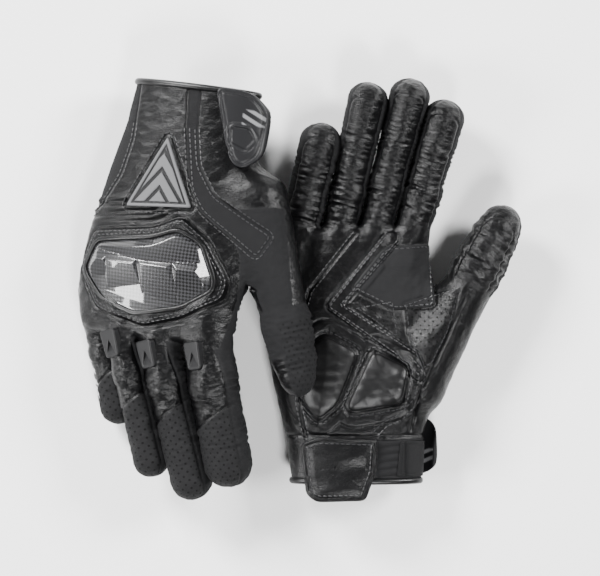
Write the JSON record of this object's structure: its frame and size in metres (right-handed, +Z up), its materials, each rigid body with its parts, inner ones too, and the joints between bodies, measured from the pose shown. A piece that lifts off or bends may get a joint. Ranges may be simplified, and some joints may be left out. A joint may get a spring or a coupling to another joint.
{
  "type": "riding gloves",
  "caption": "Pair of short-cuff leather riding gloves, one palm up and one palm down across its heel, with hard knuckle guards, wrist straps and jointed digits.",
  "frame": {"origin": "middle of the pair's footprint, on the surface the gloves lie on", "axes": "+Z up from the surface; +Y towards the fingertips of the glove that lies palm up; +X towards its thumb"},
  "size_m": [0.2532, 0.2427, 0.0604],
  "materials": {
    "leather": "semi-gloss aniline goat leather",
    "stretch_fabric": "matt stretch weave",
    "lining": "brushed lining",
    "elastic": "ribbed elastic",
    "binding": "woven tape",
    "foam": "soft foam",
    "carbon_shell": "gloss moulded shell",
    "moulded_rubber": "moulded polyurethane",
    "suede": "napped leather"
  },
  "bodies": {
    "under_hand": {"under_palm_panel": "leather", "under_back_panel": "leather", "under_radial_stretch_strip": "stretch_fabric", "under_ulnar_stretch_strip": "stretch_fabric", "under_hand_liner": "lining", "under_wrist_cuff": "elastic", "under_cuff_binding": "binding", "under_pull_tab": "leather", "under_index_base": "leather", "under_middle_base": "leather", "under_ring_base": "leather", "under_little_base": "leather", "under_thumb_base": "leather", "under_knuckle_pad": "foam", "under_knuckle_guard": "carbon_shell", "under_guard_bezel": "leather", "under_back_badge": "moulded_rubber", "under_heel_pad_outer": "suede", "under_heel_pad_thumb": "suede", "under_palm_reinforcement": "suede", "under_strap_anchor": "stretch_fabric", "under_index_slider": "moulded_rubber", "under_middle_slider": "moulded_rubber", "under_ring_slider": "moulded_rubber"},
    "over_hand": {"over_palm_panel": "leather", "over_back_panel": "leather", "over_radial_stretch_strip": "stretch_fabric", "over_ulnar_stretch_strip": "stretch_fabric", "over_hand_liner": "lining", "over_wrist_cuff": "elastic", "over_cuff_binding": "binding", "over_pull_tab": "leather", "over_index_base": "leather", "over_middle_base": "leather", "over_ring_base": "leather", "over_little_base": "leather", "over_thumb_base": "leather", "over_knuckle_pad": "foam", "over_knuckle_guard": "carbon_shell", "over_guard_bezel": "leather", "over_back_badge": "moulded_rubber", "over_heel_pad_outer": "suede", "over_heel_pad_thumb": "suede", "over_palm_reinforcement": "suede", "over_strap_anchor": "stretch_fabric", "over_index_slider": "moulded_rubber", "over_middle_slider": "moulded_rubber", "over_ring_slider": "moulded_rubber"},
    "under_index_end": {"under_index_tip": "leather"},
    "under_middle_end": {"under_middle_tip": "leather"},
    "under_ring_end": {"under_ring_tip": "leather"},
    "under_little_end": {"under_little_tip": "leather"},
    "under_thumb_end": {"under_thumb_tip": "leather"},
    "under_strap": {"under_strap_tab": "moulded_rubber"},
    "over_index_end": {"over_index_tip": "leather"},
    "over_middle_end": {"over_middle_tip": "leather"},
    "over_ring_end": {"over_ring_tip": "leather"},
    "over_little_end": {"over_little_tip": "leather"},
    "over_thumb_end": {"over_thumb_tip": "leather"},
    "over_strap": {"over_strap_tab": "moulded_rubber"}
  },
  "joints": [
    {"name": "glove_lift", "type": "slide", "parent": "under_hand", "child": "over_hand", "axis": [0, 0, 1], "range_m": [0, 0.12]},
    {"name": "under_index_flex", "type": "hinge", "parent": "under_hand", "child": "under_index_end", "pos_m": [0.07053, 0.05521, 0.0307], "axis": [0.9617, -0.274, 0], "range_deg": [0, 65]},
    {"name": "under_middle_flex", "type": "hinge", "parent": "under_hand", "child": "under_middle_end", "pos_m": [0.0497, 0.05827, 0.0309], "axis": [0.9686, -0.2487, 0], "range_deg": [0, 65]},
    {"name": "under_ring_flex", "type": "hinge", "parent": "under_hand", "child": "under_ring_end", "pos_m": [0.0279, 0.05655, 0.0307], "axis": [0.9774, -0.2113, 0], "range_deg": [0, 65]},
    {"name": "under_little_flex", "type": "hinge", "parent": "under_hand", "child": "under_little_end", "pos_m": [0.0032, 0.04712, 0.0301], "axis": [0.9724, -0.2334, 0], "range_deg": [0, 65]},
    {"name": "under_thumb_flex", "type": "hinge", "parent": "under_hand", "child": "under_thumb_end", "pos_m": [0.09157, 0.02314, 0.0228], "axis": [0, 0, 1], "range_deg": [0, 35]},
    {"name": "under_strap_open", "type": "hinge", "parent": "under_hand", "child": "under_strap", "pos_m": [0.07383, -0.10941, 0.0171], "axis": [-0.095, -0.9955, 0], "range_deg": [0, 170]},
    {"name": "over_index_flex", "type": "hinge", "parent": "over_hand", "child": "over_index_end", "pos_m": [-0.04582, -0.05312, 0.03229], "axis": [0.9449, 0.1354, 0.2979], "range_deg": [0, 65]},
    {"name": "over_middle_flex", "type": "hinge", "parent": "over_hand", "child": "over_middle_end", "pos_m": [-0.07106, -0.05214, 0.02426], "axis": [0.9376, 0.187, 0.2932], "range_deg": [0, 65]},
    {"name": "over_ring_flex", "type": "hinge", "parent": "over_hand", "child": "over_ring_end", "pos_m": [-0.09251, -0.04623, 0.01863], "axis": [0.9376, 0.187, 0.2932], "range_deg": [0, 65]},
    {"name": "over_little_flex", "type": "hinge", "parent": "over_hand", "child": "over_little_end", "pos_m": [-0.10671, -0.03644, 0.00272], "axis": [0.9507, 0.066, 0.3029], "range_deg": [0, 65]},
    {"name": "over_thumb_flex", "type": "hinge", "parent": "over_hand", "child": "over_thumb_end", "pos_m": [-0.0194, -0.02835, 0.0418], "axis": [0.2889, 0.0424, -0.9564], "range_deg": [0, 35]},
    {"name": "over_strap_open", "type": "hinge", "parent": "over_hand", "child": "over_strap", "pos_m": [-0.0191, 0.10946, 0.04913], "axis": [0.0491, 0.9984, -0.0294], "range_deg": [0, 110]}
  ]
}
